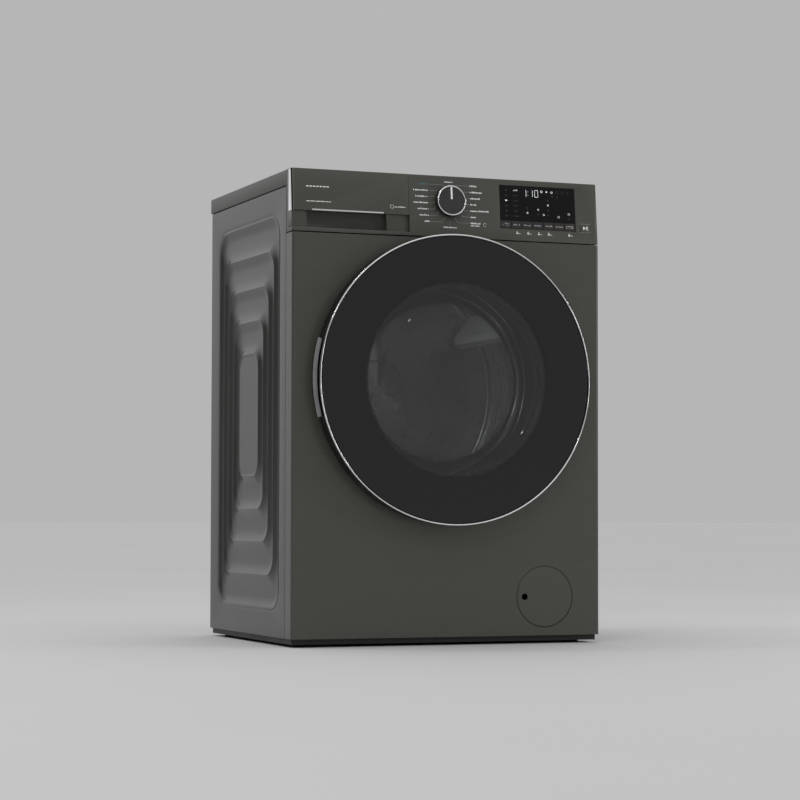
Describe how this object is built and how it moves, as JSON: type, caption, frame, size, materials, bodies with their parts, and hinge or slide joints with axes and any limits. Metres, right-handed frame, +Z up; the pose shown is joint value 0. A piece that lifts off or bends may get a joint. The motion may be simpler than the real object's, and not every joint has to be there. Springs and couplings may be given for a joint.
{
  "type": "front load washing machine",
  "caption": "Free-standing front load washing machine with a large round smoked-glass door, detergent drawer, programme knob, display and ribbed side panels.",
  "frame": {"origin": "on the floor, under the middle of the whole machine", "axes": "+Z up, -Y towards the user at the front, +X to the right as seen from the front"},
  "size_m": [0.6, 0.54, 0.85],
  "materials": {
    "cabinet_paint": "satin",
    "side_paint": "satin",
    "galvanised_steel": "satin",
    "worktop_laminate": "matte",
    "fascia_plastic": "satin",
    "cover_plastic": "satin",
    "display_glass": "gloss",
    "smoked_glass": "gloss",
    "clear_glass": "gloss",
    "bright_trim": "mirror",
    "black_plastic": "satin",
    "door_black": "gloss",
    "knob_plastic": "satin",
    "circuit_board": "satin",
    "white_plastic": "satin",
    "grey_rubber": "matte",
    "black_rubber": "matte",
    "tub_plastic": "matte",
    "stainless_steel": "brushed",
    "zinc_steel": "satin",
    "weight_iron": "matte",
    "cast_aluminium": "satin",
    "motor_shell": "satin"
  },
  "bodies": {
    "cabinet": {"base_tray": "black_plastic", "left_panel": "side_paint", "right_panel": "side_paint", "rear_panel": "galvanised_steel", "rear_cover": "galvanised_steel", "cabinet_screws": "zinc_steel", "front_panel": "cabinet_paint", "worktop": "worktop_laminate", "top_frame": "galvanised_steel", "fascia": "fascia_plastic", "display_glass": "display_glass", "control_board": "circuit_board", "dispenser_housing": "white_plastic", "inlet_valve": "white_plastic", "drain_pump": "black_plastic", "drain_pipe": "tub_plastic", "filter_well": "black_plastic", "door_lock": "black_plastic", "hinge_bracket": "zinc_steel", "hinge_pin": "zinc_steel", "mains_gland": "black_rubber", "dispenser_hose": "black_rubber", "sump_hose": "black_rubber", "door_gasket": "grey_rubber", "suspension_springs": "zinc_steel"},
    "door": {"door_frame": "door_black", "door_ring": "bright_trim", "door_glass": "smoked_glass", "window_shroud": "door_black", "door_bowl": "clear_glass", "hinge_leaf": "zinc_steel", "door_grip": "bright_trim"},
    "catch": {"door_catch": "zinc_steel"},
    "drawer": {"drawer_tray": "white_plastic", "drawer_front": "fascia_plastic", "drawer_trim": "bright_trim"},
    "programme_knob": {"knob": "knob_plastic"},
    "start_button": {"start_key": "fascia_plastic"},
    "drain_cover": {"filter_cover": "cover_plastic"},
    "filter_plug": {"pump_filter": "black_plastic"},
    "front_left_foot": {"foot_front_left": "black_rubber"},
    "front_right_foot": {"foot_front_right": "black_rubber"},
    "rear_left_foot": {"foot_rear_left": "black_rubber"},
    "rear_right_foot": {"foot_rear_right": "black_rubber"},
    "tub": {"tub_front": "tub_plastic", "tub_rear": "tub_plastic", "counterweights": "weight_iron", "heater": "stainless_steel", "bearings": "zinc_steel", "motor_housing": "motor_shell", "drive_belt": "black_rubber"},
    "drum": {"drum_shell": "stainless_steel", "drum_lifters": "white_plastic", "drum_spider": "cast_aluminium", "drum_pulley": "cast_aluminium"},
    "motor_rotor": {"motor_shaft": "zinc_steel"},
    "left_damper_cylinder": {"damper_cylinder_left": "black_plastic"},
    "right_damper_cylinder": {"damper_cylinder_right": "black_plastic"},
    "left_damper_rod": {"damper_rod_left": "zinc_steel"},
    "right_damper_rod": {"damper_rod_right": "zinc_steel"}
  },
  "joints": [
    {"name": "door_hinge", "type": "hinge", "parent": "cabinet", "child": "door", "pos_m": [0.252, -0.25, 0.477], "axis": [0, 0, 1], "range_deg": [0, 120]},
    {"name": "catch_pivot", "type": "hinge", "parent": "door", "child": "catch", "pos_m": [-0.226, -0.238, 0.477], "axis": [0, 0, 1], "range_deg": [-6, 6], "stiffness_Nm_per_rad": 0.5},
    {"name": "drawer_slide", "type": "slide", "parent": "cabinet", "child": "drawer", "axis": [0, -1, 0], "range_m": [0, 0.2]},
    {"name": "knob_turn", "type": "hinge", "parent": "cabinet", "child": "programme_knob", "pos_m": [0.002, -0.2219, 0.80272], "axis": [0, -0.9957, 0.0924], "continuous": true},
    {"name": "start_press", "type": "slide", "parent": "cabinet", "child": "start_button", "axis": [0, 0.9957, -0.0924], "range_m": [0, 0.001], "stiffness_N_per_m": 800, "springref_m": -0.0005},
    {"name": "drain_cover_pull", "type": "slide", "parent": "cabinet", "child": "drain_cover", "axis": [0, -1, 0], "range_m": [0, 0.03]},
    {"name": "filter_unscrew", "type": "hinge", "parent": "cabinet", "child": "filter_plug", "pos_m": [0.189, -0.198, 0.0855], "axis": [0, -1, 0], "range_deg": [0, 180]},
    {"name": "front_left_foot_height", "type": "slide", "parent": "cabinet", "child": "front_left_foot", "axis": [0, 0, -1], "range_m": [0, 0.012]},
    {"name": "front_right_foot_height", "type": "slide", "parent": "cabinet", "child": "front_right_foot", "axis": [0, 0, -1], "range_m": [0, 0.012]},
    {"name": "rear_left_foot_height", "type": "slide", "parent": "cabinet", "child": "rear_left_foot", "axis": [0, 0, -1], "range_m": [0, 0.012]},
    {"name": "rear_right_foot_height", "type": "slide", "parent": "cabinet", "child": "rear_right_foot", "axis": [0, 0, -1], "range_m": [0, 0.012]},
    {"name": "tub_bounce", "type": "slide", "parent": "cabinet", "child": "tub", "axis": [0, 0, 1], "range_m": [-0.008, 0.008], "stiffness_N_per_m": 16000, "springref_m": 0.01858, "deforming": ["suspension_springs", "door_gasket", "dispenser_hose", "sump_hose"]},
    {"name": "drum_spin", "type": "hinge", "parent": "tub", "child": "drum", "pos_m": [0, 0.144, 0.477], "axis": [0, 1, 0], "continuous": true},
    {"name": "motor_spin", "type": "hinge", "parent": "tub", "child": "motor_rotor", "pos_m": [0, 0.224, 0.12], "axis": [0, 1, 0], "continuous": true},
    {"name": "left_damper_base", "type": "hinge", "parent": "cabinet", "child": "left_damper_cylinder", "pos_m": [-0.205, 0.012, 0.052], "axis": [0, 1, 0], "range_deg": [-1.5, 1.5]},
    {"name": "left_damper_top", "type": "hinge", "parent": "tub", "child": "left_damper_rod", "pos_m": [-0.128, 0.012, 0.232], "axis": [0, 1, 0], "range_deg": [-1.5, 1.5]},
    {"name": "right_damper_base", "type": "hinge", "parent": "cabinet", "child": "right_damper_cylinder", "pos_m": [0.205, 0.012, 0.052], "axis": [0, 1, 0], "range_deg": [-1.5, 1.5]},
    {"name": "right_damper_top", "type": "hinge", "parent": "tub", "child": "right_damper_rod", "pos_m": [0.128, 0.012, 0.232], "axis": [0, 1, 0], "range_deg": [-1.5, 1.5]}
  ],
  "couplings": [
    {"joint": "motor_spin", "follows": "drum_spin", "ratio": 14},
    {"joint": "left_damper_base", "follows": "tub_bounce", "rad_per_m": -2.0089},
    {"joint": "left_damper_top", "follows": "tub_bounce", "rad_per_m": -2.0089},
    {"joint": "right_damper_base", "follows": "tub_bounce", "rad_per_m": 2.0089},
    {"joint": "right_damper_top", "follows": "tub_bounce", "rad_per_m": 2.0089}
  ]
}
